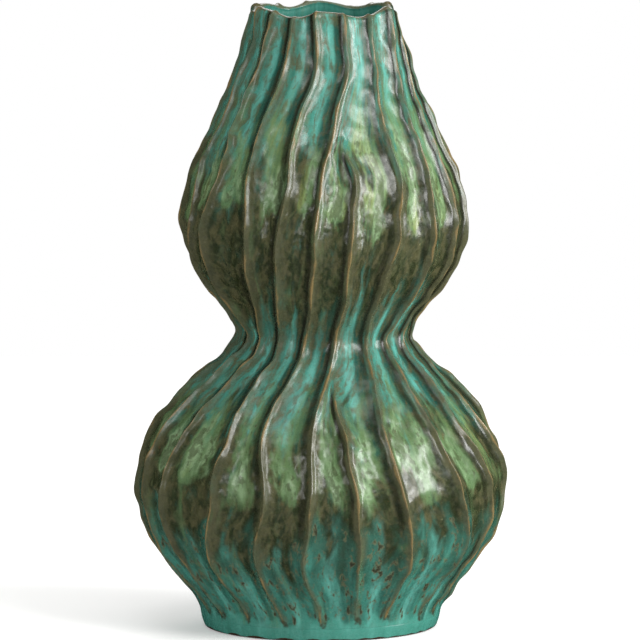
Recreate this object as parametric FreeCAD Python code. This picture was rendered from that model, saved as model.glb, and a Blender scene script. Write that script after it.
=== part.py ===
import FreeCAD, Part

import math
import os

# A double gourd vase in glazed stoneware. Two thrown bulbs are joined at a tight waist and stand
# on a turned foot ring. Strips of clay, pinched up to a ridge and feathered at both sides, are
# laid over the wall from the mouth to just above the foot, so that the wall between two ridges
# reads as a hollow flute. The strips wander, and a few of them fork from a neighbour.
# Lengths are millimetres and angles are degrees. +Z is up, the origin is the middle of the base,
# and the front of the vase faces -Y.

# Outline of the wall, without its ribs: each named level has its height and its radius
vase_height = 350.0
foot_height = 8.0
foot_radius = 67.5
belly_height = 82.0
belly_radius = 99.4
waist_height = 165.5
waist_radius = 45.9
crown_height = 230.0
crown_radius = 76.8
mouth_radius = 40.0
neck_lean = 4.0

# How full each outline curve is: the share of its height that its upright ends take
foot_upright_share = 0.22
belly_lower_share = 0.52
belly_upper_share = 0.54
waist_lower_share = 0.16
waist_upper_share = 0.2
crown_lower_share = 0.5
crown_upper_share = 0.27
neck_upright_share = 0.42

# Clay: the thrown wall, its floor, the lip, and the ring under it
wall_thickness = 7.0
floor_thickness = 9.0
lip_thickness = 4.0
foot_ring_width = 11.0
foot_ring_taper = 1.5
foot_ring_chamfer = 1.2

# Rim: it rises and falls in low waves, and the highest of them reach the vase's full height
rim_wave_height = 3.2
rim_wave_count = 6
rim_wave_angle = 3.0
rim_wave_points = 24

# Ribs: ridge heights square to the wall at each level, and the section of a strip
foot_band_height = 5.0
tail_rib_height = 1.2
belly_rib_height = 5.1
waist_rib_height = 4.0
crown_rib_height = 4.9
mouth_rib_height = 2.5
ridge_width = 1.8
strip_reach = 18.0
strip_gap_share = 0.9
flank_hollow_share = 0.22
fork_fade = 40.0
fork_tip_share = 0.12
sections_per_curve = 7
section_crowding_share = 0.35

# Depth of the slip that beds a strip on the wall
slip_bed = 0.3

# Ribs seen from the front, left to right. A row holds the turn of the ridge from the front, in
# degrees, at each height share, and the height share where the strip ends.
height_shares = (0.03, 0.13, 0.235, 0.345, 0.47, 0.56, 0.66, 0.74, 0.83, 0.915, 1.0)
front_ribs = (
    ((-86, -88, -90, -86, -76, -78, -70, -71, -71, -69, -64), 1.0),
    ((-67, -71, -74, -70, -60, -61, -59, -53, -55, -51, -44), 1.0),
    ((-54, -58, -60, -54, -46, -37, -33, -36, -34, -27, -26), 1.0),
    ((-36, -41, -36, -34, -30, -22, -19, -16, -14, -5, -7), 1.0),
    ((-18, -23, -18, -20, -12, -6, -3, -1, 6, 15, 15), 1.0),
    ((0, -5, -3, -3, 8, 10, 11, 14, 13, 22, 23), 0.81),
    ((17, 13, 12, 8, 11, 18, 21, 24, 24, 30, 31), 0.44),
    ((32, 32, 27, 23, 29, 27, 31, 35, 33, 37, 38), 1.0),
    ((53, 58, 50, 44, 47, 51, 50, 52, 53, 57, 60), 1.0),
    ((68, 70, 69, 59, 66, 68, 67, 66, 66, 72, 78), 1.0),
    ((86, 86, 87, 77, 82, 84, 82, 82, 80, 88, 97), 1.0),
)

# Ribs behind: they share the arc that the front ribs leave and swing as those do
back_rib_count = 9
back_rib_swing_angle = 4.0
back_swing_rate = 1.6
back_swing_phase = 2.7
back_rib_end_shares = {4: 0.44, 7: 0.82}


def outline_poles(low, high, low_share, high_share, lean=0.0):
    """The four poles, as (radius, height), of an outline curve that is upright at its ends."""
    span = high[1] - low[1]
    return (
        low,
        (low[0], low[1] + span * low_share),
        (high[0] + lean, high[1] - span * high_share),
        high,
    )


def wall_outline(inset, lip_inset, bottom):
    """The four outline curves of the wall, from `bottom` up, drawn in from its outside."""
    foot = (foot_radius - inset, bottom)
    belly = (belly_radius - inset, belly_height)
    waist = (waist_radius - inset, waist_height)
    crown = (crown_radius - inset, crown_height)
    mouth = (mouth_radius - lip_inset, vase_height)
    return (
        outline_poles(foot, belly, foot_upright_share, belly_lower_share),
        outline_poles(belly, waist, belly_upper_share, waist_lower_share),
        outline_poles(waist, crown, waist_upper_share, crown_lower_share),
        outline_poles(crown, mouth, crown_upper_share, neck_upright_share, neck_lean),
    )


tail_height = foot_height + foot_band_height
outer_outline = wall_outline(0.0, 0.0, foot_height)
inner_outline = wall_outline(wall_thickness, lip_thickness, foot_height + floor_thickness)


def on_curve(poles, along, axis):
    """One coordinate of a point on a four-pole curve: 0 is its radius and 1 its height."""
    back = 1 - along
    weights = (back**3, 3 * back**2 * along, 3 * back * along**2, along**3)
    return sum(weight * pole[axis] for weight, pole in zip(weights, poles))


def wall_radius(height):
    """Outside radius of the wall at a height, found by halving along its outline curve."""
    poles = next((p for p in outer_outline if height <= p[3][1]), outer_outline[-1])
    low, high = 0.0, 1.0
    for _ in range(40):
        middle = (low + high) / 2
        if on_curve(poles, middle, 1) < height:
            low = middle
        else:
            high = middle
    return on_curve(poles, (low + high) / 2, 0)


def wall_slant(height):
    """How much longer a level cut through a layer on the wall is than the layer is thick."""
    step = slip_bed
    rise = (wall_radius(height + step) - wall_radius(height - step)) / (2 * step)
    return math.hypot(1, rise)


def smooth_value(at, places, values):
    """Value at a place on the smooth line through hand-set values."""
    last = len(places) - 1
    at = min(max(at, places[0]), places[last])
    i = max(k for k in range(last) if places[k] <= at)

    def slope(k):
        low, high = max(k - 1, 0), min(k + 1, last)
        return (values[high] - values[low]) / (places[high] - places[low])

    width = places[i + 1] - places[i]
    t = (at - places[i]) / width
    return (
        (1 + 2 * t) * (1 - t) ** 2 * values[i]
        + t * (1 - t) ** 2 * width * slope(i)
        + t * t * (3 - 2 * t) * values[i + 1]
        + t * t * (t - 1) * width * slope(i + 1)
    )


def point_at(turn, radius, height):
    """A point on the vase: the turn is measured from the front, and grows to the right."""
    angle = math.radians(turn)
    return FreeCAD.Vector(radius * math.sin(angle), -radius * math.cos(angle), height)


def bezier_edge(poles):
    curve = Part.BezierCurve()
    curve.setPoles([point_at(0, radius, height) for radius, height in poles])
    return curve.toShape()


def line_edge(first, last):
    """A straight stretch of an outline between two (radius, height) places."""
    return Part.makeLine(point_at(0, *first), point_at(0, *last))


def turned(edges):
    """The solid that a closed outline sweeps about the vase's axis."""
    face = Part.Face(Part.Wire(Part.__sortEdges__(edges)))
    solid = face.revolve(FreeCAD.Vector(0, 0, 0), FreeCAD.Vector(0, 0, 1), 360)
    return Part.Solid(solid) if solid.ShapeType == "Shell" else solid


def foot_ring():
    """The turned ring that the vase stands on: it tapers down to a chamfered base."""
    base_outer = foot_radius - foot_ring_taper
    base_inner = foot_radius - foot_ring_width + foot_ring_taper
    corners = [
        (foot_radius, foot_height),
        (base_outer, foot_ring_chamfer),
        (base_outer - foot_ring_chamfer, 0.0),
        (base_inner + foot_ring_chamfer, 0.0),
        (base_inner, foot_ring_chamfer),
        (foot_radius - foot_ring_width, foot_height),
    ]
    pairs = zip(corners, corners[1:] + corners[:1])
    return turned([line_edge(first, last) for first, last in pairs])


def lower_bulb():
    """The lower bulb, thrown with its floor and left open at the waist."""
    floor_top = foot_height + floor_thickness
    edges = [bezier_edge(poles) for poles in outer_outline[:2] + inner_outline[:2]]
    edges.append(line_edge(outer_outline[1][3], inner_outline[1][3]))
    edges.append(line_edge((0.0, foot_height), outer_outline[0][0]))
    edges.append(line_edge((0.0, floor_top), inner_outline[0][0]))
    edges.append(line_edge((0.0, foot_height), (0.0, floor_top)))
    return turned(edges)


def rim_height(turn):
    """Height of the wavy rim at a turn."""
    wave = math.cos(math.radians(rim_wave_count * (turn - rim_wave_angle)))
    return vase_height - rim_wave_height / 2 * (1 - wave)


def rim_wave_wire(radius):
    """A closed wavy line at rim height, on a cylinder about the axis."""
    turns = [360 * k / rim_wave_points for k in range(rim_wave_points)]
    curve = Part.BSplineCurve()
    curve.interpolate(Points=[point_at(t, radius, rim_height(t)) for t in turns], PeriodicFlag=True)
    return curve.toShape()


def upper_bulb():
    """The upper bulb and its neck, open at both ends, with the lip cut to its waves."""
    edges = [bezier_edge(poles) for poles in outer_outline[2:] + inner_outline[2:]]
    edges.append(line_edge(outer_outline[2][0], inner_outline[2][0]))
    edges.append(line_edge(outer_outline[3][3], inner_outline[3][3]))
    inside = mouth_radius - 2 * lip_thickness
    outside = mouth_radius + lip_thickness
    trim = Part.makeRuledSurface(rim_wave_wire(inside), rim_wave_wire(outside))
    return turned(edges).cut(trim.extrude(FreeCAD.Vector(0, 0, 2 * rim_wave_height)))


def rib_rows():
    """Every rib's turns at the height shares and its end share, once round the vase."""
    first = front_ribs[0][0]
    last = front_ribs[-1][0]
    rows = list(front_ribs)
    for k in range(1, back_rib_count + 1):
        share = k / (back_rib_count + 1)
        turns = []
        for height_share, left, right in zip(height_shares, last, first):
            swing = math.sin(2 * math.pi * (back_swing_rate * height_share + back_swing_phase * share))
            even = left + (right + 360 - left) * share
            turns.append(even + back_rib_swing_angle * math.sin(math.pi * share) * swing)
        rows.append((tuple(turns), back_rib_end_shares.get(k, 1.0)))
    return rows


def fork_fade_at(row, height, beyond=0.0):
    """1 where a rib runs whole, falling to 0 at the tip of a fork or a length beyond the tip."""
    if row[1] == 1:
        return 1
    left = row[1] * vase_height + beyond - height
    return min(max(left / fork_fade, 0), 1)


def turn_of(rows, k, height):
    """Turn of a rib's ridge at a height, counted on past a full turn where k runs past the rows."""
    laps, k = divmod(k, len(rows))
    return smooth_value(height / vase_height, height_shares, rows[k][0]) + 360 * laps


def next_ridge(rows, k, side, height):
    """Turn of the next ridge on one side, handed over smoothly beyond the tip of a fork."""
    there = fork_fade_at(rows[(k + side) % len(rows)], height, fork_fade)
    turn = turn_of(rows, k + side, height)
    return turn if there == 1 else there * turn + (1 - there) * next_ridge(rows, k + side, side, height)


def section_heights(bottom, top):
    """Heights of a rib's sections: crowded to the ends of the outline curves, where they turn."""
    least = ridge_width
    heights = [bottom]
    for poles in outer_outline:
        for k in range(sections_per_curve):
            even = k / sections_per_curve
            crowded = section_crowding_share * math.sin(2 * math.pi * even) / (2 * math.pi)
            height = on_curve(poles, even - crowded, 1)
            if bottom + least < height < top - least:
                heights.append(height)
    return heights + [top]


def bed_radii(heights):
    """Radii of a strip's bed, far enough out for its straight stretches to clear a round wall."""
    radii = [wall_radius(height) for height in heights]
    bulges = [0.0]
    for low, high, low_radius, high_radius in zip(heights, heights[1:], radii, radii[1:]):
        bulges.append(max(wall_radius((low + high) / 2) - (low_radius + high_radius) / 2, 0.0))
    bulges.append(0.0)
    slips = [slip_bed * wall_slant(height) for height in heights]
    return [r + slip + max(pair) for r, slip, pair in zip(radii, slips, zip(bulges, bulges[1:]))]


def rib_section(rows, k, height, bed):
    """A strip's level section: it is feathered out at both sides and hollow up to its ridge."""
    levels = (tail_height, belly_height, waist_height, crown_height, vase_height)
    rises = (tail_rib_height, belly_rib_height, waist_rib_height, crown_rib_height, mouth_rib_height)
    fade = fork_tip_share + (1 - fork_tip_share) * fork_fade_at(rows[k], height)
    rise = smooth_value(height, levels, rises) * wall_slant(height) * fade
    ridge = turn_of(rows, k, height)
    per_length = math.degrees(1 / bed)
    half_ridge = ridge_width / 2 * fade * per_length
    reaches = []
    for side in (-1, 1):
        gap = abs(next_ridge(rows, k, side, height) - ridge)
        reaches.append(min(gap / 2 * strip_gap_share, strip_reach * per_length) * fade)
    bed /= math.cos(math.radians(max(reaches)) / 2)
    middle = point_at(ridge, bed, height)
    feather_l, feather_r = ridge - reaches[0], ridge + reaches[1]
    top_l, top_r = ridge - half_ridge, ridge + half_ridge
    hollow = bed + rise * flank_hollow_share
    return Part.makePolygon([
        middle,
        point_at(feather_r, bed, height),
        point_at((feather_r + top_r) / 2, hollow, height),
        point_at(top_r, bed + rise, height),
        point_at(top_l, bed + rise, height),
        point_at((feather_l + top_l) / 2, hollow, height),
        point_at(feather_l, bed, height),
        middle,
    ])


def rib(rows, k):
    """One pinched strip: its ridge wanders up the wall and its edges reach for its neighbours."""
    turns, end_share = rows[k]
    heights = section_heights(tail_height, min(end_share * vase_height, rim_height(turns[-1])))
    sections = [rib_section(rows, k, height, bed) for height, bed in zip(heights, bed_radii(heights))]
    return Part.makeLoft(sections, True, True)


def main():
    os.makedirs("parts", exist_ok=True)
    pieces = {"foot_ring": foot_ring(), "lower_bulb": lower_bulb(), "upper_bulb": upper_bulb()}
    rows = rib_rows()
    for k in range(len(rows)):
        pieces[f"rib_{k + 1:02d}"] = rib(rows, k)
    for name, shape in pieces.items():
        shape.exportStep(f"parts/{name}.step")
        print(f"{name}: {shape.Volume / 1000:.1f} cm3, {len(shape.Faces)} faces, valid {shape.isValid()}")


main()
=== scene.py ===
"""The looks of a double gourd vase: running copper glaze over a thrown and ridged stoneware body."""

import logging
import math
from collections.abc import Sequence
from dataclasses import dataclass
from enum import Enum

import bpy
import numpy as np
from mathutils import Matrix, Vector


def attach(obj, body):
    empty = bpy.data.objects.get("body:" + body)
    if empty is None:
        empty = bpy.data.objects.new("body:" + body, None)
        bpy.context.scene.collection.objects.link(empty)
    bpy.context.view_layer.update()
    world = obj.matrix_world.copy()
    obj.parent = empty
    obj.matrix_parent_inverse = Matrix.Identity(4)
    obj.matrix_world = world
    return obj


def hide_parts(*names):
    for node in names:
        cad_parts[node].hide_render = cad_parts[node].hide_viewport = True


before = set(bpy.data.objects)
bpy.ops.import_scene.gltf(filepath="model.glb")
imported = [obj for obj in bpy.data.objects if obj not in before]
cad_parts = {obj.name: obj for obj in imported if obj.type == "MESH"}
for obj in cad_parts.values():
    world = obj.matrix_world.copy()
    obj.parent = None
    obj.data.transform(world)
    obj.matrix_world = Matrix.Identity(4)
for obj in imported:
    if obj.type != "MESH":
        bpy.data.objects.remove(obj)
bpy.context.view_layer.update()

MM = 0.001
VASE_HEIGHT = 350.0
FOOT_HEIGHT = 8.0
FLOW_RADIUS = 78.0
Band = tuple[float, float, float, float]
log = logging.getLogger("vase")


def smooth_step(values: np.ndarray | float, low: float, high: float) -> np.ndarray | float:
    """Eases values from 0 at low to 1 at high.

    Args:
        values: The places to ease.
        low: Where the result is still 0.
        high: Where the result has become 1.

    Returns:
        The eased values, from 0 to 1.
    """
    share = np.clip((values - low) / (high - low), 0.0, 1.0)
    return share * share * (3.0 - 2.0 * share)


def band(places: np.ndarray, start: float, full: float, going: float, gone: float) -> np.ndarray:
    """1 from full to going, eased up from 0 at start and back down to 0 at gone."""
    return smooth_step(places, start, full) * (1 - smooth_step(places, going, gone))


def hump(values: np.ndarray, middle: float, width: np.ndarray | float) -> np.ndarray:
    """1 at the middle, falling off smoothly to both sides over a width."""
    return np.exp(-(((values - middle) / width) ** 2))


def smooth_line(at: np.ndarray, places: Sequence[float], values: Sequence[float]) -> np.ndarray:
    """Reads the smooth line through given values.

    Args:
        at: Where to read it.
        places: The rising places of the values.
        values: The value at each place.

    Returns:
        The line's value at each place that was asked for.
    """
    places, values = np.asarray(places, float), np.asarray(values, float)
    last = len(places) - 1
    at = np.clip(at, places[0], places[last])
    i = np.clip(np.searchsorted(places, at, side="right") - 1, 0, last - 1)
    lows = np.maximum(np.arange(last + 1) - 1, 0)
    highs = np.minimum(np.arange(last + 1) + 1, last)
    slopes = (values[highs] - values[lows]) / (places[highs] - places[lows])
    width = places[i + 1] - places[i]
    t = (at - places[i]) / width
    return (
        (1 + 2 * t) * (1 - t) ** 2 * values[i]
        + t * (1 - t) ** 2 * width * slopes[i]
        + t * t * (3 - 2 * t) * values[i + 1]
        + t * t * (t - 1) * width * slopes[i + 1]
    )


@dataclass(frozen=True)
class HandMarks:
    """The uneven swells that hands and running glaze leave: many waves of one length, each its own way."""

    wavelength: float
    seed: int
    run: float = 1.0
    height: float = 1.0
    waves: int = 28

    def read(self, points: np.ndarray) -> np.ndarray:
        """Reads the swell, drawn out upright by its run.

        Args:
            points: Places in millimetres.

        Returns:
            The swell at each, up to about its height up or down.
        """
        draw = np.random.default_rng(self.seed)
        ways = draw.normal(size=(self.waves, 3))
        ways /= np.linalg.norm(ways, axis=1)[:, None]
        ways[:, 2] /= self.run
        lengths = self.wavelength * draw.uniform(0.75, 1.5, self.waves)
        starts = draw.uniform(0.0, 2 * math.pi, self.waves)
        total = np.zeros(points.shape[:-1])
        for way, length, start in zip(ways, lengths, starts):
            total += np.sin(points @ way * (2 * math.pi / length) + start)
        return self.height * (total / math.sqrt(self.waves))


def read_all(marks: Sequence[HandMarks], points: np.ndarray) -> np.ndarray:
    """All the swells together at points in millimetres."""
    return sum(each.read(points) for each in marks)


@dataclass(frozen=True)
class WallOutline:
    """The wall's outline in millimetres: foot, belly, waist, crown and mouth, joined by four full curves."""

    foot: tuple[float, float] = (67.5, FOOT_HEIGHT)
    belly: tuple[float, float] = (99.4, 82.0)
    waist: tuple[float, float] = (45.9, 165.5)
    crown: tuple[float, float] = (76.8, 230.0)
    mouth: tuple[float, float] = (40.0, VASE_HEIGHT)
    neck_lean: float = 4.0
    fullness_shares: tuple[tuple[float, float], ...] = ((0.22, 0.52), (0.54, 0.16), (0.2, 0.5), (0.27, 0.42))
    wall: float = 7.0
    lip: float = 4.0
    floor: float = 9.0
    lean: float = 2.2
    curve_points: int = 400

    def curves(self, inset: float = 0.0, lip_inset: float = 0.0, rise: float = 0.0) -> list[np.ndarray]:
        """The poles, as (radius, height), of the four curves.

        Args:
            inset: How far the outline is drawn in from the outside.
            lip_inset: The same at the mouth.
            rise: How far its foot is lifted.

        Returns:
            Four arrays of four poles each.
        """
        insets = (inset, inset, inset, inset, lip_inset)
        outside = (self.foot, self.belly, self.waist, self.crown, self.mouth)
        levels = [(radius - step, height) for (radius, height), step in zip(outside, insets)]
        levels[0] = (levels[0][0], levels[0][1] + rise)
        made = []
        for low, high, (low_share, high_share) in zip(levels, levels[1:], self.fullness_shares):
            span = high[1] - low[1]
            lean = self.neck_lean if high is levels[-1] else 0.0
            upright = ((low[0], low[1] + span * low_share), (high[0] + lean, high[1] - span * high_share))
            made.append(np.array([low, *upright, high]))
        return made

    def stations(self, curves: Sequence[np.ndarray], step: float) -> np.ndarray:
        """Evenly spaced places along curves.

        Args:
            curves: Bezier poles, as `curves` gives them.
            step: The spacing wanted.

        Returns:
            Rows of radius and height, from the lowest up.
        """
        t = np.linspace(0.0, 1.0, self.curve_points)[:, None]
        runs = [
            (1 - t) ** 3 * p[0] + 3 * (1 - t) ** 2 * t * p[1] + 3 * (1 - t) * t**2 * p[2] + t**3 * p[3]
            for p in curves
        ]
        path = np.vstack([runs[0]] + [run[1:] for run in runs[1:]])
        along = np.concatenate(([0.0], np.cumsum(np.hypot(*np.diff(path, axis=0).T))))
        even = np.linspace(0.0, along[-1], max(int(along[-1] / step), 2))
        return np.column_stack([np.interp(even, along, path[:, axis]) for axis in (0, 1)])

    def inside(self) -> list[np.ndarray]:
        """The poles of the inner wall's curves, from the floor to the lip."""
        return self.curves(self.wall, self.lip, self.floor)

    def lean_at(self, heights: np.ndarray | float) -> np.ndarray | float:
        """How far the hand-thrown wall leans to the right at a height."""
        return self.lean * smooth_step(heights, self.belly[1], self.crown[1])


@dataclass(frozen=True)
class RidgePattern:
    """Where each ridge runs round the wall: turns in degrees from the front, growing to the right."""

    height_shares: tuple[float, ...] = (0.03, 0.13, 0.235, 0.345, 0.47, 0.56, 0.66, 0.74, 0.83, 0.915, 1.0)
    front: tuple[tuple[tuple[float, ...], float], ...] = (
        ((-86, -88, -90, -86, -76, -78, -70, -71, -71, -69, -64), 1.0),
        ((-67, -71, -74, -70, -60, -61, -59, -53, -55, -51, -44), 1.0),
        ((-54, -58, -60, -54, -46, -37, -33, -36, -34, -27, -26), 1.0),
        ((-36, -41, -36, -34, -30, -22, -19, -16, -14, -5, -7), 1.0),
        ((-18, -23, -18, -20, -12, -6, -3, -1, 6, 15, 15), 1.0),
        ((0, -5, -3, -3, 8, 10, 11, 14, 13, 22, 23), 0.83),
        ((17, 13, 12, 8, 11, 18, 21, 24, 24, 30, 31), 0.44),
        ((32, 32, 27, 23, 29, 27, 31, 35, 33, 37, 38), 1.0),
        ((53, 58, 50, 44, 47, 51, 50, 52, 53, 57, 60), 1.0),
        ((68, 70, 69, 59, 66, 68, 67, 66, 66, 72, 78), 1.0),
        ((86, 86, 87, 77, 82, 84, 82, 82, 80, 88, 97), 1.0),
    )
    back_count: int = 9
    back_swing_angle: float = 4.0
    back_swing_rate: float = 1.6
    back_swing_phase: float = 2.7
    back_end_shares: tuple[tuple[int, float], ...] = ((4, 0.44), (7, 0.82))
    fork_fade: float = 20.0
    fork_join: float = 42.0
    fork_join_share: float = 0.5
    wobble: float = 0.55
    wobble_length: float = 26.0
    wobble_seed: int = 40

    def rows(self) -> list[tuple[np.ndarray, float]]:
        """Gathers the ridges once round the vase: the front ones as listed, the back ones in the same rhythm.

        Returns:
            Each ridge's turns at the height shares, and the share where it ends.
        """
        first, last = np.array(self.front[0][0], float), np.array(self.front[-1][0], float)
        made = [(np.array(turns, float), end) for turns, end in self.front]
        shares, ends = np.array(self.height_shares), dict(self.back_end_shares)
        for k in range(1, self.back_count + 1):
            share = k / (self.back_count + 1)
            swing = np.sin(2 * math.pi * (self.back_swing_rate * shares + self.back_swing_phase * share))
            even = last + (first + 360.0 - last) * share
            made.append((even + self.back_swing_angle * math.sin(math.pi * share) * swing, ends.get(k, 1.0)))
        return made

    def turns(self, heights: np.ndarray) -> np.ndarray:
        """Follows every ridge up the wall, with the small wobble of a pinching hand.

        Args:
            heights: Where to read them, in millimetres.

        Returns:
            Turns in degrees, by ridge and height.
        """
        made = []
        for k, (turns, _) in enumerate(self.rows()):
            smooth = smooth_line(heights / VASE_HEIGHT, self.height_shares, turns)
            line = np.stack([0 * heights, 0 * heights, heights], axis=-1)
            made.append(smooth + self.wobble * HandMarks(self.wobble_length, self.wobble_seed + k).read(line))
        for k, end in enumerate(self.ends()):
            if end < VASE_HEIGHT:
                share = self.fork_join_share * smooth_step(heights, end - self.fork_join, end)
                made[k] = made[k] + share * (made[k - 1] - made[k])
        return np.array(made)

    def ends(self) -> np.ndarray:
        """Height where each ridge ends: above the vase where it runs whole."""
        return np.array([end * VASE_HEIGHT if end < 1 else math.inf for _, end in self.rows()])


@dataclass(frozen=True)
class RidgeForm:
    """The pinched section of the ridges: heights square to the wall, in millimetres."""

    levels: tuple[float, ...] = (8.0, 13.0, 26.0, 82.0, 165.5, 230.0, VASE_HEIGHT)
    rises: tuple[float, ...] = (0.0, 0.6, 3.0, 5.2, 3.4, 4.9, 2.8)
    bead_share: float = 0.30
    bead_width: float = 1.5
    hollow_power: float = 1.9
    full_depth_gap: float = 6.0

    def section(self, gap: np.ndarray, near: np.ndarray) -> np.ndarray:
        """Share of the ridge's height, 1 on a crest and 0 in the floor of a full flute.

        Args:
            gap: Width of the flute between its two crests.
            near: Distance to the nearer crest.

        Returns:
            The share at each place.
        """
        half = np.maximum(gap / 2, 1e-6)
        hollow = (1 - np.clip(near / half, 0, 1)) ** self.hollow_power
        bead = hump(near, 0.0, self.bead_width)
        depth = 1 - np.exp(-((gap / 2 / self.full_depth_gap) ** 2))
        return 1 - depth * (1 - (1 - self.bead_share) * hollow - self.bead_share * bead)


@dataclass(frozen=True)
class PaleRuns:
    """The pale runs of glaze that gathered in the flutes and stopped, each at its own height."""

    lower_ends: tuple[float, ...] = (98, 92, 88, 76, 80, 68, 66, 78, 84, 78, 86)
    upper_ends: tuple[float, ...] = (244, 240, 238, 241, 236, 225, 225, 230, 228, 240, 238)
    lower_top: float = 158.0
    upper_top: float = 330.0
    width_share: float = 0.30
    nose: float = 7.0

    def inside(self, flute: np.ndarray, lateral: np.ndarray, gap: np.ndarray, height: float) -> np.ndarray:
        """How far inside a run a place lies, in millimetres, and below 0 outside it.

        Args:
            flute: Number of the flute.
            lateral: Distance from the flute's middle.
            gap: Width of the flute.
            height: Height of the places.

        Returns:
            The distance at each place.
        """
        best = np.full(lateral.shape, -20.0)
        for ends, top in ((self.lower_ends, self.lower_top), (self.upper_ends, self.upper_top)):
            end = np.array(ends)[flute % len(ends)]
            above = np.clip((height - end) / self.nose, -3, 1)
            side = self.width_share * gap * np.sqrt(np.clip(above, 0, 1)) - np.abs(lateral)
            reach = np.where(above <= 0, np.minimum(side, (height - end)), side)
            best = np.maximum(best, np.minimum(reach, top - height))
        return best


MARKS = ("ridge_share", "crest_distance", "straight_turn", "flank", "pool", "run")


@dataclass
class GlazedSkin:
    """The whole outer surface as rows and columns: every ridge strip takes its own columns from it."""

    outline: WallOutline
    ridges: RidgePattern
    form: RidgeForm
    runs: PaleRuns
    # The grid of rows and columns.
    row_step: float = 0.9
    half_columns: int = 21
    crest_crowding: float = 1.35
    # The round lip, and the collar inside it that dives under the lining.
    lip_height: float = 1.5
    lip_rows: int = 9
    collar_rows: int = 13
    collar_proud: float = 0.35
    # The low waves of the rim, in millimetres and degrees.
    rim_wave_height: float = 3.2
    rim_wave_count: int = 6
    rim_wave_angle: float = 3.0
    rim_wave_reach: float = 30.0
    # The lower edge, the eased waist and the strips' hidden backs.
    skirt: float = 0.4
    waist_reach: float = 10.0
    strip_depth: float = 2.4
    lip_depth: float = 1.1
    # What hands left: broad swells, small lumps and a drift along the ridges.
    swells: tuple[HandMarks, ...] = (HandMarks(30.0, 11, height=0.5), HandMarks(13.0, 12, height=0.34))
    lumps: tuple[HandMarks, ...] = (HandMarks(6.5, 13), HandMarks(3.2, 14, height=0.35))
    drift: HandMarks = HandMarks(22.0, 15, height=0.6)
    sink: float = 0.2
    lump_heights: tuple[float, float] = (0.05, 0.12)
    upper_lumps: float = 0.7
    crest_calm: float = 2.2
    full_rise: float = 2.0
    smoothed_side: tuple[float, float] = (-10.0, 55.0)
    smoothed_shares: tuple[float, float] = (1.1, 0.65)
    bellies: tuple[Band, ...] = ((42.0, 70.0, 112.0, 140.0), (176.0, 200.0, 238.0, 268.0))
    upper_from: tuple[float, float] = (150.0, 200.0)

    def __post_init__(self) -> None:
        """Works out the rows, the ridges' turns at them and the columns of every strip."""
        outer = self.outline.stations(self.outline.curves(), self.row_step)
        outer = outer[outer[:, 1] < VASE_HEIGHT - self.lip_height]
        turn = np.linspace(0.0, math.pi, self.lip_rows)[:, None]
        half_lip = self.outline.lip / 2
        middle = np.array([self.outline.mouth[0] - half_lip, VASE_HEIGHT - self.lip_height])
        lip = middle + np.hstack([np.cos(turn) * half_lip, np.sin(turn) * self.lip_height])
        inner = self.outline.stations(self.outline.inside()[-1:], self.row_step)[::-1]
        collar = inner[inner[:, 1] < lip[-1, 1]][: self.collar_rows]
        share = np.arange(self.collar_rows) / (self.collar_rows - 1)
        dive = smooth_step(share, 0.6, 1.0)
        collar[:, 0] += 2 * self.collar_proud * dive - self.collar_proud * smooth_step(share, 0.0, 0.3)
        outer = self.ease_waist(outer)
        outer[0, 1] -= self.skirt
        self.path = np.vstack([outer, lip, collar])
        self.outer_rows = len(outer)
        tangent = np.gradient(self.path, axis=0)
        tangent /= np.linalg.norm(tangent, axis=1)[:, None]
        self.normal = np.column_stack([tangent[:, 1], -tangent[:, 0]])
        self.along = np.concatenate(([0.0], np.cumsum(np.hypot(*np.diff(self.path, axis=0).T))))
        self.level = self.path[:, 1].copy()
        self.level[self.outer_rows:] = VASE_HEIGHT
        self.turns = self.ridges.turns(self.level)
        self.ends = self.ridges.ends()
        self.count = len(self.ends)
        self.lay_columns()
        self.lay_surface()

    def ease_waist(self, path: np.ndarray) -> np.ndarray:
        """Rounds the outline near the waist, where slip and glaze fill the hollow.

        Args:
            path: Rows of radius and height.

        Returns:
            The same rows, drawn towards their running mean near the waist.
        """
        reach = round(self.waist_reach / self.row_step)
        window = np.hanning(2 * reach + 3)[1:-1]
        window /= window.sum()
        padded = (np.pad(axis, reach, mode="edge") for axis in path.T)
        eased = np.column_stack([np.convolve(axis, window, "valid") for axis in padded])
        share = hump(path[:, 1], self.outline.waist[1], 2 * self.waist_reach)
        return path + share[:, None] * (eased - path)

    def fade(self, k: int, height: float, beyond: float = 0.0) -> float:
        """How much of a ridge is there at a height.

        Args:
            k: The ridge.
            height: The height, in millimetres.
            beyond: How far past its end it still holds.

        Returns:
            1 where it runs whole, down to 0 at the tip of a fork.
        """
        left = self.ends[k % self.count] + beyond - height
        return float(np.clip(left / self.ridges.fork_fade, 0.0, 1.0))

    def turn(self, k: int, row: int) -> float:
        """Turn of a ridge at a row.

        Args:
            k: The ridge, counted on past the last one or back before the first.
            row: The row.

        Returns:
            The turn in degrees, counted on past a full turn as k is.
        """
        laps, k = divmod(k, self.count)
        return float(self.turns[k, row]) + 360.0 * laps

    def present(self, row: int) -> list[int]:
        """The ridges that still run at a row."""
        return [k for k in range(self.count) if self.ends[k] > self.level[row]]

    def border(self, k: int, after: int, row: int) -> float:
        """Turn of the line where the strips of two neighbouring ridges meet, near a flute's floor.

        Args:
            k: The left ridge.
            after: The next ridge to its right that is present.
            row: The row.

        Returns:
            The turn in degrees.
        """
        height = self.level[row]
        left, right = self.turn(k, row), self.turn(after, row)
        middle = (left + right) / 2
        for j in range(k + 1, after):
            hold = self.fade(j, height, self.ridges.fork_fade)
            middle = hold * self.turn(j, row) + (1 - hold) * middle
        middle = left + self.fade(k, height) * (middle - left)
        return right + self.fade(after, height) * (middle - right)

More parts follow.
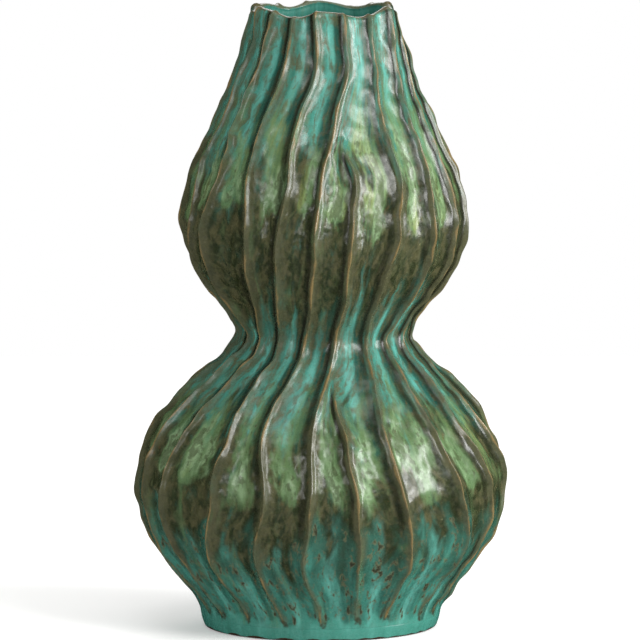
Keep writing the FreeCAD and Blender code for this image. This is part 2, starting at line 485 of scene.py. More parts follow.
    def lay_columns(self) -> None:
        """Sets the turn of every column of every strip, crowded towards the crest."""
        side = np.linspace(0.0, 1.0, self.half_columns + 1) ** self.crest_crowding
        rows = len(self.path)
        self.columns = np.zeros((self.count, rows, 2 * self.half_columns + 1))
        self.row_counts = np.zeros(self.count, int)
        for row in range(rows):
            here = self.present(row)
            for place, k in enumerate(here):
                before = here[place - 1] - (self.count if place == 0 else 0)
                after = here[(place + 1) % len(here)] + (self.count if place == len(here) - 1 else 0)
                crest = self.turn(k, row)
                low = self.border(before, k, row)
                high = self.border(k, after, row)
                self.columns[k, row] = np.concatenate(
                    [crest + (low - crest) * side[:0:-1], crest + (high - crest) * side]
                )
                self.row_counts[k] = row + 1

    def flute_values(self, row: int, turns: np.ndarray, ridges: list[int]) -> np.ndarray:
        """What the glaze and the clay need to know at places on one row.

        Args:
            row: The row.
            turns: The places, in degrees.
            ridges: The ridges taken into account.

        Returns:
            One line of values for each of MARKS. A fading fork is mixed in by its fade.
        """
        height = self.level[row]
        fading = [k for k in ridges if self.fade(k, height) < 1]
        if fading:
            k = min(fading, key=lambda j: self.fade(j, height))
            weight = self.fade(k, height)
            without = self.flute_values(row, turns, [j for j in ridges if j != k])
            if weight == 0:
                return without
            kept, self.ends[k] = self.ends[k], math.inf
            whole = self.flute_values(row, turns, ridges)
            self.ends[k] = kept
            return weight * whole + (1 - weight) * without
        names = np.array(ridges[-2:] + ridges + ridges[:2])
        laps = np.array([-360.0] * 2 + [0.0] * len(ridges) + [360.0] * 2)
        crests = self.turns[names, row] + laps
        straight = self.turns[names, 0] + laps
        i = np.clip(np.searchsorted(crests, turns) - 1, 0, len(crests) - 2)
        per_turn = math.radians(1.0) * self.path[row, 0]
        gap = (crests[i + 1] - crests[i]) * per_turn
        t = (turns - crests[i]) * per_turn / gap
        near = np.minimum(t, 1 - t) * gap
        mark = straight[i] + (straight[i + 1] - straight[i]) * t
        run = self.runs.inside(names[i], (t - 0.5) * gap, gap, height)
        flank = np.sin(2 * math.pi * t)
        return np.array([self.form.section(gap, near), near, mark, flank, 2 * np.minimum(t, 1 - t), run])

    def lay_surface(self) -> None:
        """Works out every place on the surface and what the glaze needs to know about it."""
        shape = self.columns.shape
        self.marks = {name: np.zeros(shape) for name in MARKS}
        for row in range(shape[1]):
            here = self.present(row)
            values = self.flute_values(row, self.columns[here, row].ravel(), here)
            for name, part in zip(MARKS, values):
                self.marks[name][here, row] = part.reshape(len(here), -1)
        rise = smooth_line(self.level, self.form.levels, self.form.rises)
        rise *= 1 - smooth_step(np.arange(shape[1]) - self.outer_rows, 0.0, self.lip_rows - 2.0)
        relief = rise[:, None] * self.marks["ridge_share"] + self.hand_relief(rise)
        self.points = self.place(self.columns, relief)
        self.flow = self.flow_places(self.marks["straight_turn"], self.along[:, None])

    def hand_relief(self, rise: np.ndarray) -> np.ndarray:
        """The swells and lumps that hands left, in millimetres.

        Args:
            rise: The ridges' height by row. The clay is calm where they are low.

        Returns:
            The relief at every place. The right-hand side was smoothed more.
        """
        share, near = self.marks["ridge_share"], self.marks["crest_distance"]
        base = self.place(self.columns, np.zeros_like(share))
        full, less = self.smoothed_shares
        lumps = read_all(self.lumps, base) * (full - less * smooth_step(base[..., 0], *self.smoothed_side))
        coarse = ((1 + self.upper_lumps * self.upper_share()) * self.belly_share())[:, None]
        coarse = coarse * (1 - hump(near, 0.0, self.crest_calm))
        fine, thick = self.lump_heights
        relief = read_all(self.swells, base) - self.sink + self.drift.read(base) * share
        return np.clip(rise / self.full_rise, 0.0, 1.0)[:, None] * (relief + lumps * (fine + thick * coarse))

    def belly_share(self) -> np.ndarray:
        """1 on the two bellies, where the glaze is thick and lumpy, and 0 elsewhere, by row."""
        return sum(band(self.level, *belly) for belly in self.bellies)

    def upper_share(self) -> np.ndarray:
        """1 on the upper bulb and 0 on the lower one, by row."""
        return smooth_step(self.level, *self.upper_from)

    def place(self, columns: np.ndarray, relief: np.ndarray) -> np.ndarray:
        """Finds places on the wall, with its wavy rim and its lean.

        Args:
            columns: Turns in degrees.
            relief: Height above the outline, square to it.

        Returns:
            The places, in millimetres.
        """
        radius = self.path[:, :1] + relief * self.normal[:, :1]
        height = self.path[:, 1:] + relief * self.normal[:, 1:]
        angle = np.radians(columns)
        wave = 1 - np.cos(self.rim_wave_count * (angle - math.radians(self.rim_wave_angle)))
        reach = smooth_step(self.level, VASE_HEIGHT - self.rim_wave_reach, VASE_HEIGHT)[:, None]
        height = height - self.rim_wave_height / 2 * wave * reach
        lean = self.outline.lean_at(self.level)[:, None]
        return np.stack([radius * np.sin(angle) + lean, -radius * np.cos(angle), height], axis=-1)

    def back(self, index: int, rows: int) -> np.ndarray:
        """Lays the hidden back of a strip.

        Args:
            index: Number of the strip.
            rows: How many rows it has.

        Returns:
            Its places, from its right border to its left one.
        """
        columns = self.columns[:, :, [-1, self.half_columns, 0]]
        easing = smooth_step(self.level, VASE_HEIGHT - self.rim_wave_reach, VASE_HEIGHT - self.outline.wall)
        depth = self.strip_depth + (self.lip_depth - self.strip_depth) * easing
        return self.place(columns, np.broadcast_to(-depth[:, None], columns.shape))[index, :rows]

    @staticmethod
    def flow_places(turns: np.ndarray, along: np.ndarray) -> np.ndarray:
        """Finds places on a straightened vase, where ridges stand upright: the glaze's streaks follow them.

        Args:
            turns: Turns in degrees, counted along the ridges.
            along: Way up the outline.

        Returns:
            The places, in millimetres.
        """
        angle = np.radians(turns)
        along = np.broadcast_to(along, angle.shape)
        return np.stack([FLOW_RADIUS * np.sin(angle), -FLOW_RADIUS * np.cos(angle), along], axis=-1)


class Slot(Enum):
    """The record's material slots."""

    BODY = "body_glaze"
    RIDGE = "rib_glaze"
    FOOT = "foot_clay"


@dataclass(frozen=True)
class GlazeLayer:
    """One colour of the fired glaze: it shows where a mark on the mesh, moved by mottling, is strong.

    Attributes:
        mark: The mesh attribute that says where the colour gathers, from 0 to 1.
        colour: Its sRGB hex colour.
        grain: Size of its mottling, in millimetres.
        run: How many times longer than wide the mottling is, along the flow.
        ragged: How far the mottling moves the colour's edge.
        edge: The mark's values between which the colour comes in.
        strength: How much it covers.
    """

    mark: str
    colour: str
    grain: float
    run: float
    ragged: float
    edge: tuple[float, float]
    strength: float


def linear(colour: str) -> tuple[float, float, float, float]:
    """Turns an sRGB hex colour into the linear values that a shader takes."""
    parts = [int(colour[i : i + 2], 16) / 255 for i in (1, 3, 5)]
    return (*(p / 12.92 if p <= 0.04045 else ((p + 0.055) / 1.055) ** 2.4 for p in parts), 1.0)


def add_node(tree: bpy.types.NodeTree, kind: str, settings: dict, links: dict) -> bpy.types.Node:
    """Adds a node.

    Args:
        tree: The material's node tree.
        kind: The node's Blender type.
        settings: Its settings by name.
        links: For each input, by name or number, a value or the socket that feeds it.

    Returns:
        The node.
    """
    node = tree.nodes.new(kind)
    for name, value in settings.items():
        setattr(node, name, value)
    for key, value in links.items():
        if isinstance(value, bpy.types.NodeSocket):
            tree.links.new(value, node.inputs[key])
        else:
            node.inputs[key].default_value = value
    return node


@dataclass(frozen=True)
class RunningGlaze:
    """Copper green stoneware glaze, dipped thick and fired until it ran.

    It is glassy, so it has a clear gloss over broken colour: teal where it pooled, mint runs in the flutes,
    olive on the bellies, and tan where it drew thin over the ridges.
    """

    name: str
    base: str
    layers: tuple[GlazeLayer, ...]
    roughness: tuple[float, float] = (0.2, 0.36)
    grain: float = 2.6
    grain_height: float = 0.3
    refraction: float = 1.5
    gloss: float = 0.42
    shift: float = 7.3

    def material(self) -> bpy.types.Material:
        """Builds the material: its layers' colour under a clear gloss, a little rough and grainy.

        Returns:
            The material, for pieces that hold its layers' marks.
        """
        made = bpy.data.materials.new(self.name)
        made.use_nodes = True
        tree = made.node_tree
        tree.nodes.clear()
        colour = self.fired_colour(tree)
        place = add_node(tree, "ShaderNodeTexCoord", {}, {}).outputs["Object"]
        scale, height = 1 / (self.grain * MM), self.grain_height * MM
        noise = add_node(tree, "ShaderNodeTexNoise", {}, {"Vector": place, "Scale": scale, "Detail": 3.0})
        fine, (glossy, dull) = noise.outputs["Fac"], self.roughness
        rough = add_node(tree, "ShaderNodeMapRange", {}, {
            "Value": fine, "From Min": 0.3, "From Max": 0.7, "To Min": glossy, "To Max": dull,
        })
        crust = add_node(tree, "ShaderNodeAttribute", {"attribute_name": "crust"}, {}).outputs["Fac"]
        rise = add_node(tree, "ShaderNodeMath", {"operation": "MULTIPLY"}, {0: fine, 1: crust}).outputs[0]
        skin = add_node(tree, "ShaderNodeBump", {}, {"Height": rise, "Strength": 1.0, "Distance": height})
        shader = add_node(tree, "ShaderNodeBsdfPrincipled", {}, {
            "Base Color": colour, "Roughness": rough.outputs[0], "Normal": skin.outputs[0],
            "IOR": self.refraction, "Specular IOR Level": self.gloss,
        })
        add_node(tree, "ShaderNodeOutputMaterial", {}, {"Surface": shader.outputs[0]})
        return made

    def fired_colour(self, tree: bpy.types.NodeTree) -> bpy.types.NodeSocket:
        """Lays the layers over the base in order, from the body of the glaze outwards.

        Args:
            tree: The material's node tree.

        Returns:
            The colour of the fired glaze.
        """
        flow = add_node(tree, "ShaderNodeAttribute", {"attribute_name": "flow"}, {}).outputs["Vector"]
        marks = [layer.mark for layer in self.layers]
        colour = linear(self.base)
        for layer in self.layers:
            shift = (self.shift * marks.index(layer.mark) + layer.grain, 0, 0)
            stretch = (1 / layer.grain, 1 / layer.grain, 1 / (layer.grain * layer.run))
            spread = add_node(tree, "ShaderNodeMapping", {}, {"Vector": flow, "Location": shift, "Scale": stretch})
            mottle = add_node(tree, "ShaderNodeTexNoise", {}, {
                "Vector": spread.outputs[0], "Scale": 1.0, "Detail": 4.0, "Roughness": 0.6, "Distortion": 0.6,
            })
            mark = add_node(tree, "ShaderNodeAttribute", {"attribute_name": layer.mark}, {})
            moved = add_node(tree, "ShaderNodeMath", {"operation": "MULTIPLY_ADD"}, {
                0: mottle.outputs["Fac"], 1: 2 * layer.ragged, 2: mark.outputs["Fac"],
            })
            low, high = (edge + layer.ragged for edge in layer.edge)
            cover = add_node(tree, "ShaderNodeMapRange", {"interpolation_type": "SMOOTHSTEP"}, {
                "Value": moved.outputs[0], "From Min": low, "From Max": high, "To Max": layer.strength,
            })
            mixed = add_node(tree, "ShaderNodeMix", {"data_type": "RGBA"}, {
                0: cover.outputs[0], 6: colour, 7: linear(layer.colour),
            })
            colour = mixed.outputs[2]
        return colour


@dataclass(frozen=True)
class GlazeMarks:
    """Where each colour of the glaze, and the painted shade on the left flanks, gathers on the ridged outside,
    read from the skin's own marks.

    A band is four heights in millimetres: where a colour starts, is full, begins to go and is gone.
    """

    skin: GlazedSkin
    olive_bands: tuple[Band, ...] = ((34.0, 80.0, 100.0, 150.0), (168.0, 200.0, 236.0, 300.0))
    # The dusky bands are partly the glaze's colour and partly painted shade on the undersides of the bulbs.
    dusk_and_shade_bands: tuple[Band, ...] = ((20.0, 50.0, 78.0, 100.0), (154.0, 180.0, 200.0, 230.0))
    pale_bands: tuple[Band, ...] = ((64.0, 98.0, 108.0, 160.0), (205.0, 225.0, 262.0, 330.0))
    spot_band: Band = (95.0, 115.0, 135.0, 160.0)
    lip_rows: Band = (-1.0, 3.0, 6.0, 10.0)
    ridged_from: tuple[float, float] = (40.0, 70.0)
    tail_from: tuple[float, float] = (8.5, 14.0)
    tail_past_lip: tuple[float, float] = (3.0, 7.0)
    specks_below: tuple[float, float] = (50.0, 75.0)
    hook_level: tuple[float, float] = (11.5, 2.8)
    hook_widths: tuple[float, float] = (5.0, 1.8)
    smudge_level: tuple[float, float] = (17.0, 5.0)
    wide_flute: float = 26.0
    run_fade: float = 8.0
    drifts: tuple[HandMarks, ...] = (HandMarks(34.0, 21, 6.0, height=9.0), HandMarks(7.0, 22, 5.0, height=9.0))
    frays: tuple[HandMarks, ...] = (HandMarks(9.0, 24, 3.0, height=2.6), HandMarks(3.5, 25, 2.0, height=1.4))
    streaks: HandMarks = HandMarks(11.0, 28, 6.0, height=0.4)
    hues: HandMarks = HandMarks(60.0, 26, 2.0, height=0.5)
    crest_wander: HandMarks = HandMarks(9.0, 23, height=0.35)
    crest_fading: HandMarks = HandMarks(24.0, 27, height=0.5)

    def read(self) -> dict[str, np.ndarray]:
        """Works out every mark.

        Returns:
            The marks by name, from 0 to 1, for all strips, rows and columns.
        """
        skin = self.skin
        flow, near = skin.flow, skin.marks["crest_distance"]
        pool, left = skin.marks["pool"], np.clip(-skin.marks["flank"], 0, 1)
        level = skin.level[:, None]
        drift = read_all(self.drifts, flow)
        height = level + drift
        run = skin.marks["run"] + read_all(self.frays, flow)
        runs = self.run_share() * (0.95 + self.streaks.read(flow))
        warm = self.run_share() * np.clip(0.5 + self.hues.read(flow), 0, 1)
        ridged = smooth_step(height, *self.ridged_from)
        past = 1 - smooth_step(self.past_wall(), *self.tail_past_lip)[:, None]
        tails = smooth_step(level + 0.2 * drift, *self.tail_from) * past
        # Lighter teal where the glaze pooled in the flutes, halved on the left flank of each crest: that halving
        # is painted shade.
        pooled_and_shaded = smooth_step(pool, 0.3, 0.9) * (1 - 0.5 * left)
        specks = 0.6 * (1 - smooth_step(height, *self.specks_below)) * tails
        return {
            "even": 0 * near,
            "teal_pool": 0.6 + (pooled_and_shaded - 0.6) * tails,
            # Painted shade: the left flank of each crest, turned from the key light, darkened.
            "painted_flank_shade": left * (0.55 + 0.45 * ridged) * tails,
            "olive": np.maximum(*(band(height, *each) for each in self.olive_bands)),
            # Darker bands on the undersides of both bulbs, partly the glaze's own dusky colour and partly painted
            # shade, with more painted shade on the left flanks.
            "dusk_and_shade": sum(band(height, *each) for each in self.dusk_and_shade_bands) * (0.75 + 0.25 * left),
            "mint": np.clip(0.45 + run / self.run_fade, 0, 1) * runs,
            "warm_mint": np.clip(0.3 + run / self.run_fade, 0, 1) * warm,
            "crust": 0.1 + self.crust_share() * (1 - hump(near, 0.0, 2.5)),
            "streak": 0.75 * (1 - ridged) * tails,
            "mottle": 0.5 * ridged * tails,
            "iron": specks + 0.45 * self.spot_share(),
            "run_edge": hump(run, 0.0, 0.9) * ridged,
            "lip": self.lip_share() + 0 * near,
            **self.crest_marks(drift, ridged, tails),
        }

    def crest_marks(self, drift: np.ndarray, ridged: np.ndarray, tails: np.ndarray) -> dict[str, np.ndarray]:
        """The marks that follow the crests: where the glaze drew thin, and the painted shade on their left.

        Args:
            drift: How far the glaze's levels wander.
            ridged: 1 above the plain band of the foot.
            tails: 1 above the strips' tails.

        Returns:
            The marks by name.
        """
        near, pool, flank = (self.skin.marks[name] for name in ("crest_distance", "pool", "flank"))
        right, left = np.clip(flank, 0, 1), np.clip(-flank, 0, 1)
        level, flow = self.skin.level[:, None], self.skin.flow
        narrow = np.clip(2 * near / np.maximum(pool, 1e-3) / self.wide_flute, 0.4, 1.0)
        smudge = hump(level + 0.3 * drift, *self.smudge_level)
        khaki_width = 1.7 + 1.6 * smudge + (1.0 + 3.2 * right) * ridged * narrow
        crest = hump(near + self.crest_wander.read(flow), 0.0, 0.8) * tails * (0.8 + self.crest_fading.read(flow))
        hook_width = np.where(flank > 0, *self.hook_widths)
        return {
            "khaki": hump(near, 0.0, khaki_width) * tails,
            "crest": crest,
            # Painted shade: a dark line just left of each crest, and a broader dark band on the left flank, which
            # faces away from the key light.
            "crest_shade": left * hump(near, 2.2, 1.5) * tails,
            "painted_side_shade": left * hump(near / narrow, 3.5, 3.5) * tails * ridged,
            "hook": hump(level + 0.2 * drift, *self.hook_level) * hump(near, 0.0, hook_width),
        }

    def past_wall(self) -> np.ndarray:
        """How many rows past the end of the outer wall each row lies."""
        return np.arange(len(self.skin.level)) - self.skin.outer_rows

    def spot_share(self) -> np.ndarray:
        """Where iron spots gather on the shoulder above the lower belly, by row."""
        return band(self.skin.level, *self.spot_band)[:, None]

    def crust_share(self) -> np.ndarray:
        """How grainy the thick glaze of the two bellies dried, by row."""
        return ((0.18 + 0.3 * self.skin.upper_share()) * self.skin.belly_share())[:, None]

    def run_share(self) -> np.ndarray:
        """How pale the runs of glaze are, by row: they start faint and gather towards their ends."""
        return sum(band(self.skin.level, *each) for each in self.pale_bands)[:, None]

    def lip_share(self) -> np.ndarray:
        """1 over the rim, where the glaze drew thin, and 0 on both walls, by row."""
        return band(self.past_wall(), *self.lip_rows)[:, None]


def deselect_all() -> None:
    """Leaves nothing selected, so that an operator acts on the new piece alone."""
    if bpy.context.object is not None and bpy.context.object.mode != "OBJECT":
        bpy.ops.object.mode_set(mode="OBJECT")
    bpy.ops.object.select_all(action="DESELECT")


def dress(piece: bpy.types.Object, finish: bpy.types.Material, stands_for: str) -> None:
    """Gives a finished piece its glaze, lets it ride on the vase and reports it.

    Args:
        piece: The new piece.
        finish: Its material.
        stands_for: The CAD node that it replaces.
    """
    piece.data.materials.append(finish)
    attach(piece, "root")
    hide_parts(stands_for)
    log.info("%s: %d faces", piece.name, len(piece.data.polygons))


def write_marks(data: bpy.types.Mesh, marks: dict[str, np.ndarray], flow: np.ndarray) -> None:
    """Writes what the glaze reads to a mesh, one value for each vertex.

    Args:
        data: The mesh.
        marks: The marks by name.
        flow: Places along the flow, in millimetres.
    """
    for name, values in marks.items():
        data.attributes.new(name, "FLOAT", "POINT").data.foreach_set("value", values.astype(np.float32))
    vectors = data.attributes.new("flow", "FLOAT_VECTOR", "POINT")
    vectors.data.foreach_set("vector", flow.ravel().astype(np.float32))


@dataclass
class RidgeStrip:
    """One strip of clay with its glaze: from flute floor to flute floor over a pinched crest."""

    skin: GlazedSkin
    marks: dict[str, np.ndarray]
    index: int
    back_columns: int = 3
    merge_distance: float = 0.002
    smooth_angle: float = 70.0

    def build(self, finish: bpy.types.Material) -> bpy.types.Object:
        """Lays a flat grid round the strip's section, closes it and dresses it.

        Args:
            finish: The glaze.

        Returns:
            The strip, riding on the vase and standing for its CAD strip.
        """
        rows = self.skin.row_counts[self.index]
        front = self.skin.points[self.index, :rows]
        columns = front.shape[1] + self.back_columns
        deselect_all()
        bpy.ops.mesh.primitive_grid_add(x_subdivisions=columns, y_subdivisions=rows - 1, size=1.0)
        piece = bpy.context.object
        piece.name = f"ridge_strip_{self.index + 1:02d}"
        grid = np.array([v.co[:2] for v in piece.data.vertices]) + 0.5
        column = np.rint(grid[:, 0] * columns).astype(int) % columns
        row = np.rint(grid[:, 1] * (rows - 1)).astype(int)
        section = np.concatenate([front, self.skin.back(self.index, rows)], axis=1)
        piece.data.vertices.foreach_set("co", (section[row, column] * MM).ravel().astype(np.float32))
        seen = np.minimum(column, front.shape[1] - 1)
        marks = {name: values[self.index][row, seen] for name, values in self.marks.items()}
        write_marks(piece.data, marks, self.skin.flow[self.index][row, seen])
        bpy.ops.object.mode_set(mode="EDIT")
        bpy.ops.mesh.select_all(action="SELECT")
        bpy.ops.mesh.remove_doubles(threshold=self.merge_distance * MM)
        bpy.ops.mesh.select_all(action="DESELECT")
        bpy.ops.mesh.select_non_manifold(extend=False)
        bpy.ops.mesh.fill_holes(sides=0)
        bpy.ops.mesh.select_all(action="SELECT")
        bpy.ops.mesh.normals_make_consistent(inside=False)
        bpy.ops.object.mode_set(mode="OBJECT")
        bpy.ops.object.shade_smooth_by_angle(angle=math.radians(self.smooth_angle))
        dress(piece, finish, f"rib_{self.index + 1:02d}")
        return piece


@dataclass
class TurnedPiece:
    """A piece that was turned on the wheel: rings of its outline, bridged, closed and smoothed."""

    name: str
    stands_for: str
    slot: Slot
    rings: np.ndarray
    outline: WallOutline
    closed_ends: bool = False
    segments: int = 96
    smoothing: int = 1
    smooth_angle: float = 50.0
    wiped_edge: tuple[float, float] = (0.6, 1.8)
    wiping: HandMarks = HandMarks(9.0, 31, height=0.5)
    pool_share: float = 0.6
    crust: float = 0.1

    def build(self, finish: bpy.types.Material) -> bpy.types.Object:
        """Extrudes a circle through the rings, as clay is drawn up.

        Args:
            finish: Its material.

        Returns:
            The piece, riding on the vase and standing for its CAD node.
        """
        deselect_all()
        radius, height = self.rings[0]
        bpy.ops.mesh.primitive_circle_add(
            vertices=self.segments, radius=radius * MM, location=(0, 0, height * MM), fill_type="NOTHING"
        )
        piece = bpy.context.object
        piece.name = self.name
        bpy.ops.object.transform_apply(location=True, rotation=True, scale=True)
        bpy.ops.object.mode_set(mode="EDIT")
        bpy.ops.mesh.select_all(action="SELECT")
        lean = 0.0
        for wide, high in self.rings[1:]:
            bpy.ops.mesh.extrude_region_move()
            share = wide / radius
            bpy.ops.transform.resize(value=(share, share, 1), center_override=(lean * MM, 0, height * MM))
            to = float(self.outline.lean_at(high))
            bpy.ops.transform.translate(value=((to - lean) * MM, 0, (high - height) * MM))
            radius, height, lean = wide, high, to
        bpy.ops.mesh.select_all(action="DESELECT")
        bpy.ops.mesh.select_non_manifold(extend=False)
        if self.closed_ends:
            bpy.ops.mesh.fill_holes(sides=0)
        else:
            bpy.ops.mesh.bridge_edge_loops()
        bpy.ops.mesh.select_all(action="SELECT")
        bpy.ops.mesh.normals_make_consistent(inside=False)
        bpy.ops.object.mode_set(mode="OBJECT")
        smooth = piece.modifiers.new("smooth", "SUBSURF")
        smooth.levels = smooth.render_levels = self.smoothing
        bpy.ops.object.modifier_apply(modifier=smooth.name)
        bpy.ops.object.shade_smooth_by_angle(angle=math.radians(self.smooth_angle))
        self.mark(piece)
        dress(piece, finish, self.stands_for)
        return piece

    def mark(self, piece: bpy.types.Object) -> None:
        """Writes the flow's places and the marks of a wall without ridges.

        Args:
            piece: The finished piece.
        """
        co = np.empty(3 * len(piece.data.vertices), np.float32)
        piece.data.vertices.foreach_get("co", co)
        place = co.reshape(-1, 3) / MM
        turn = np.degrees(np.arctan2(place[:, 0], -place[:, 1]))
        flow = GlazedSkin.flow_places(turn, place[:, 2] - FOOT_HEIGHT)
        bare = 1 - smooth_step(place[:, 2] + self.wiping.read(place), *self.wiped_edge)
        even = np.ones(len(place))
        marks = {"bare": bare, "teal_pool": self.pool_share * even, "crust": self.crust * even}
        write_marks(piece.data, marks, flow)


@dataclass
class ThrownBody:
    """The thrown clay under the strips: foot ring, lower bulb with its floor, and upper bulb."""

    outline: WallOutline
    set_back: float = 2.0
    step: float = 9.0
    foot_ring: float = 11.0
    foot_taper: float = 1.5
    foot_round: float = 1.8
    upper_end: float = 341.0
    under_shares: tuple[float, ...] = (0.1, 0.5, 0.97)
    floor_shares: tuple[float, ...] = (0.75, 0.4, 0.08)
    floor_dish: float = 0.6

    def rings(self, curves: list[np.ndarray], inset: float) -> np.ndarray:
        """Spaces rings along an outline.

        Args:
            curves: Bezier poles, as the outline gives them.
            inset: How far they are drawn in.

        Returns:
            Rows of radius and height.
        """
        made = self.outline.stations(curves, self.step)
        made[:, 0] -= inset
        return made

    def lower(self) -> TurnedPiece:
        """Plans the lower bulb: up its outside, in at the waist, down its inside and over its floor.

        Returns:
            The piece, ready to build.
        """
        outer = self.rings(self.outline.curves()[:2], self.set_back)
        inner = self.rings(self.outline.inside()[:2], 0.0)[::-1]
        (wide, high), (under_wide, under_high) = inner[-1], outer[0]
        floor = np.array([(wide * share, high - self.floor_dish * (1 - share)) for share in self.floor_shares])
        under = np.array([(under_wide * share, under_high) for share in self.under_shares])
        rings = np.vstack([under, outer, inner, floor])
        return TurnedPiece("thrown_lower_bulb", "lower_bulb", Slot.BODY, rings, self.outline, closed_ends=True)

    def upper(self) -> TurnedPiece:
        """Plans the upper bulb: open at both ends, its rim hidden in the glazed lip.

        Returns:
            The piece, ready to build.
        """
        outer = self.rings(self.outline.curves()[2:], self.set_back)
        inner = self.rings(self.outline.inside()[2:], 0.0)
        rings = np.vstack([outer[outer[:, 1] < self.upper_end], inner[inner[:, 1] < self.upper_end][::-1]])
        return TurnedPiece("thrown_upper_bulb", "upper_bulb", Slot.BODY, rings, self.outline)

    def foot(self) -> TurnedPiece:
        """Plans the foot ring, with the soft edges that turning and wiping leave.

        Returns:
            The piece, ready to build.
        """
        wide, high = self.outline.foot
        base, bend = wide - self.foot_taper, self.foot_round
        inner = wide - self.foot_ring
        outside = [(wide - 0.1, high), (wide - 0.1, high - 0.1), (wide - 0.25, high * 0.7)]
        edge = [(base + 0.35, high * 0.4), (base - 0.1, bend), (base - 0.3 * bend, 0.3 * bend), (base - bend, 0.0)]
        inside = [(inner + bend, 0.0), (inner + 0.2, 0.4 * bend), (inner, bend), (inner, high * 0.6)]
        top = [(inner, high - 0.1), (inner, high)]
        rings = np.array(outside + edge + inside + top)
        return TurnedPiece("turned_foot_ring", "foot_ring", Slot.FOOT, rings, self.outline)


@dataclass(frozen=True)
class SoftBox:
    """A soft studio light, aimed at the vase's middle."""

    name: str
    turn: float
    rise: float
    distance: float
    size: tuple[float, float]
    power: float

    def hang(self, aim: Vector) -> bpy.types.Object:
        """Hangs the light at its turn from the front and its rise above the horizon.

        Args:
            aim: What it shines at.

        Returns:
            The light.
        """
        turn, rise = math.radians(self.turn), math.radians(self.rise)
        way = Vector((math.sin(turn) * math.cos(rise), -math.cos(turn) * math.cos(rise), math.sin(rise)))
        data = bpy.data.lights.new(self.name, "AREA")
        data.shape, data.energy = "RECTANGLE", self.power
        data.size, data.size_y = self.size
        lamp = bpy.data.objects.new(self.name, data)
        bpy.context.scene.collection.objects.link(lamp)
        lamp.location = aim + way * self.distance
        lamp.rotation_euler = way.to_track_quat("Z", "Y").to_euler()
        lamp.visible_camera = False
        return lamp


@dataclass(frozen=True)
class Studio:
    """Pale floor, soft light and the camera at the photograph's angle."""

    aim: tuple[float, float, float] = (-0.0003, 0.0, 0.1729)
    camera_rise: float = 7.0
    camera_distance: float = 5.6
    view_width: float = 0.3598
    sensor: float = 36.0
    clip_end: float = 50.0
    floor_width: float = 2.4
    world_strength: float = 0.46
    paper_colour: str = "#F4F4F2"
    light_colour: str = "#FFFFFF"
    paper_roughness: float = 0.9
    paper_white: float = 1.0
    paper_glow: float = 0.24
    lights: tuple[SoftBox, ...] = (
        SoftBox("key_softbox", 38.0, 28.0, 1.3, (0.34, 0.7), 9.8),
        SoftBox("side_softbox", 76.0, 14.0, 1.3, (0.3, 0.9), 16.0),
        SoftBox("fill_softbox", -42.0, 20.0, 1.5, (0.3, 0.8), 4.6),
        SoftBox("top_softbox", 10.0, 75.0, 1.4, (0.9, 0.9), 5.0),
        SoftBox("back_softbox", 180.0, 35.0, 1.6, (0.9, 0.9), 7.0),
    )

    def build(self) -> None:
        """Sets up floor, world, lights and camera."""
        bpy.context.scene.view_settings.view_transform = "Standard"
        self.lay_paper()
        self.light_world()
        for light in self.lights:
            light.hang(Vector(self.aim))
        self.place_camera()

    def lay_paper(self) -> None:
        """Lays the floor: matt paper, a little lit, that no glaze mirrors."""
        deselect_all()
        bpy.ops.mesh.primitive_plane_add(size=self.floor_width)
        floor = bpy.context.object
        floor.name = "pale_floor"
        paper = bpy.data.materials.new("matt paper sweep")
        paper.use_nodes = True
        shader = paper.node_tree.nodes["Principled BSDF"]
        shader.inputs["Base Color"].default_value = linear(self.paper_colour)
        shader.inputs["Roughness"].default_value = self.paper_roughness
        shader.inputs["Emission Color"].default_value = linear(self.light_colour)
        shader.inputs["Emission Strength"].default_value = self.paper_glow
        floor.data.materials.append(paper)
        floor.visible_glossy = False

    def light_world(self) -> None:
        """Surrounds the vase with even white: a dim light on it, and plain white behind it."""
        world = bpy.data.worlds.new("soft studio")
        world.use_nodes = True
        background = world.node_tree.nodes["Background"]
        background.inputs["Color"].default_value = linear(self.light_colour)
        rays = add_node(world.node_tree, "ShaderNodeLightPath", {}, {}).outputs["Is Camera Ray"]
        seen = add_node(world.node_tree, "ShaderNodeMapRange", {}, {
            "Value": rays, "To Min": self.world_strength, "To Max": self.paper_white,
        })
        world.node_tree.links.new(seen.outputs[0], background.inputs["Strength"])
        bpy.context.scene.world = world
        world.cycles_visibility.glossy = False

    def place_camera(self) -> None:
        """Looks at the vase from the photograph's angle, through a long lens."""
        rise = math.radians(self.camera_rise)
        back = Vector((0.0, -math.cos(rise), math.sin(rise)))
        data = bpy.data.cameras.new("photo_view")
        data.sensor_width = self.sensor
        data.lens = self.camera_distance * self.sensor / self.view_width
        data.clip_end = self.clip_end
        camera = bpy.data.objects.new("photo_view", data)
        bpy.context.scene.collection.objects.link(camera)
        camera.location = Vector(self.aim) + back * self.camera_distance
        camera.rotation_euler = back.to_track_quat("Z", "Y").to_euler()
        bpy.context.scene.camera = camera


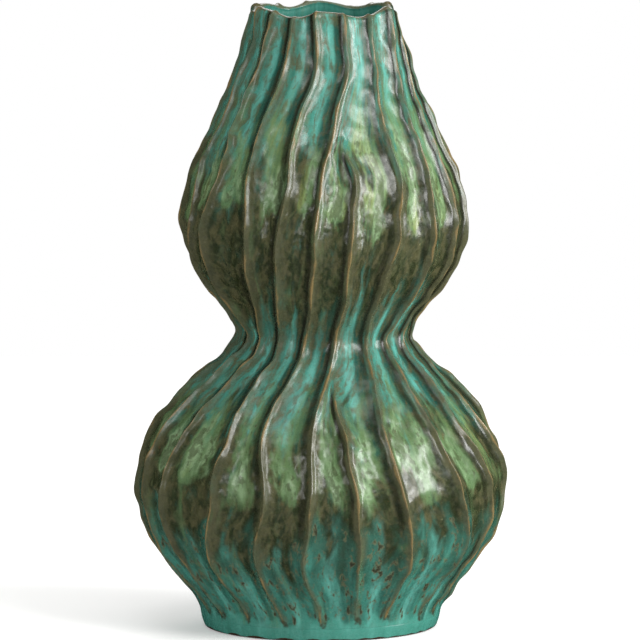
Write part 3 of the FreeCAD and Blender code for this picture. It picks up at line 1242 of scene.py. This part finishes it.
def outside_glaze() -> RunningGlaze:
    """Mixes the running glaze of the ridged outside, with painted shade on the left of each crest.

    Returns:
        The glaze. Its layers give mark, colour, grain, run, raggedness, edge and strength.
    """
    layers = (
        # The body of the glaze: cloudy teal, lighter where it pooled, with painted shade darkening the left flank
        # of each crest, away from the key light.
        GlazeLayer("even", "#1F5547", 16.0, 5.0, 0.5, (-0.05, 0.35), 0.8),
        GlazeLayer("teal_pool", "#5A9F92", 8.0, 5.0, 0.6, (0.4, 1.2), 0.75),
        GlazeLayer("painted_flank_shade", "#17392F", 6.0, 5.0, 0.5, (0.35, 0.95), 0.8),
        GlazeLayer("streak", "#1F3F36", 5.0, 5.0, 0.9, (0.4, 1.15), 0.7),
        # The olive of the bellies, dusky at its borders and mottled with khaki: the dusk is partly the glaze's
        # colour and partly painted shade on the undersides and left flanks.
        GlazeLayer("dusk_and_shade", "#233A2B", 6.0, 4.0, 0.9, (0.0, 1.0), 0.72),
        GlazeLayer("olive", "#262B16", 6.0, 3.0, 0.9, (0.15, 0.95), 0.97),
        GlazeLayer("olive", "#484E33", 3.0, 1.8, 1.0, (0.95, 1.4), 0.8),
        GlazeLayer("mottle", "#4C4A31", 4.0, 2.2, 0.8, (0.36, 0.76), 0.82),
        GlazeLayer("khaki", "#4C4C36", 4.5, 3.0, 0.95, (0.1, 1.05), 0.75),
        # The pale runs in the flutes: green, then warm, then mint where they are thick, with brown edges.
        GlazeLayer("mint", "#56724A", 7.0, 6.0, 1.2, (0.1, 1.0), 0.8),
        GlazeLayer("warm_mint", "#7A854A", 6.0, 5.0, 0.8, (0.4, 1.1), 0.6),
        GlazeLayer("mint", "#7F9873", 4.5, 4.0, 1.0, (0.75, 1.35), 0.65),
        GlazeLayer("mint", "#343A22", 2.8, 1.8, 1.0, (1.0, 1.3), 0.6),
        GlazeLayer("run_edge", "#5E4426", 2.5, 1.5, 0.8, (0.8, 1.3), 0.5),
        # Fine dark and pale specks all over, and the larger iron specks, each in a thin tan rim.
        GlazeLayer("even", "#1C1B12", 1.7, 1.8, 0.5, (0.1, 0.28), 0.5),
        GlazeLayer("even", "#9A9A72", 1.4, 1.5, 0.5, (0.13, 0.33), 0.4),
        GlazeLayer("iron", "#5A5940", 2.5, 2.8, 0.9, (0.7, 0.78), 0.75),
        GlazeLayer("iron", "#29281C", 2.5, 2.8, 0.9, (0.79, 0.85), 0.85),
        # Along the crests: painted shade beside them on the left, tan where the glaze broke over them, brown at
        # tails and lip.
        GlazeLayer("painted_side_shade", "#181B10", 5.0, 4.0, 0.5, (0.2, 0.9), 0.7),
        GlazeLayer("hook", "#33301F", 2.5, 1.0, 0.9, (0.3, 0.95), 0.85),
        GlazeLayer("crest_shade", "#1B1A10", 3.0, 4.0, 0.3, (0.4, 0.9), 0.85),
        GlazeLayer("crest", "#705F3C", 2.5, 3.0, 0.8, (0.35, 1.0), 0.9),
        GlazeLayer("lip", "#5A5034", 4.0, 1.0, 0.6, (0.4, 0.9), 0.75),
    )
    return RunningGlaze("running copper glaze on stoneware", "#3A7A6C", layers)


def lining_glaze() -> RunningGlaze:
    """The calm teal lining of the inside, poured in and out: cloudy, with no runs.

    Returns:
        The glaze.
    """
    clouds = GlazeLayer("even", "#1F5547", 14.0, 3.0, 0.5, (-0.1, 0.3), 0.7)
    return RunningGlaze("teal lining glaze on stoneware", "#2F7463", (clouds,))


def foot_glaze() -> RunningGlaze:
    """Mixes the foot's finish: the outside's own teal down to a wiped edge, then bare toasted clay.

    Returns:
        The finish.
    """
    outside = outside_glaze()
    bare = GlazeLayer("bare", "#3A281C", 1.5, 1.0, 0.3, (0.4, 0.6), 1.0)
    return RunningGlaze("wiped foot in toasted stoneware", outside.base, (*outside.layers[:2], bare))


def main() -> None:
    """Builds every piece in order and reports it."""
    logging.basicConfig(level=logging.INFO, format="%(name)s: %(message)s")
    outline = WallOutline()
    skin = GlazedSkin(outline, RidgePattern(), RidgeForm(), PaleRuns())
    marks = GlazeMarks(skin).read()
    glaze = outside_glaze().material()
    for index in range(skin.count):
        RidgeStrip(skin, marks, index).build(glaze)
    body = ThrownBody(outline)
    lining = lining_glaze().material()
    body.lower().build(lining)
    body.upper().build(lining)
    body.foot().build(foot_glaze().material())
    Studio().build()


if __name__ == "__main__":
    main()
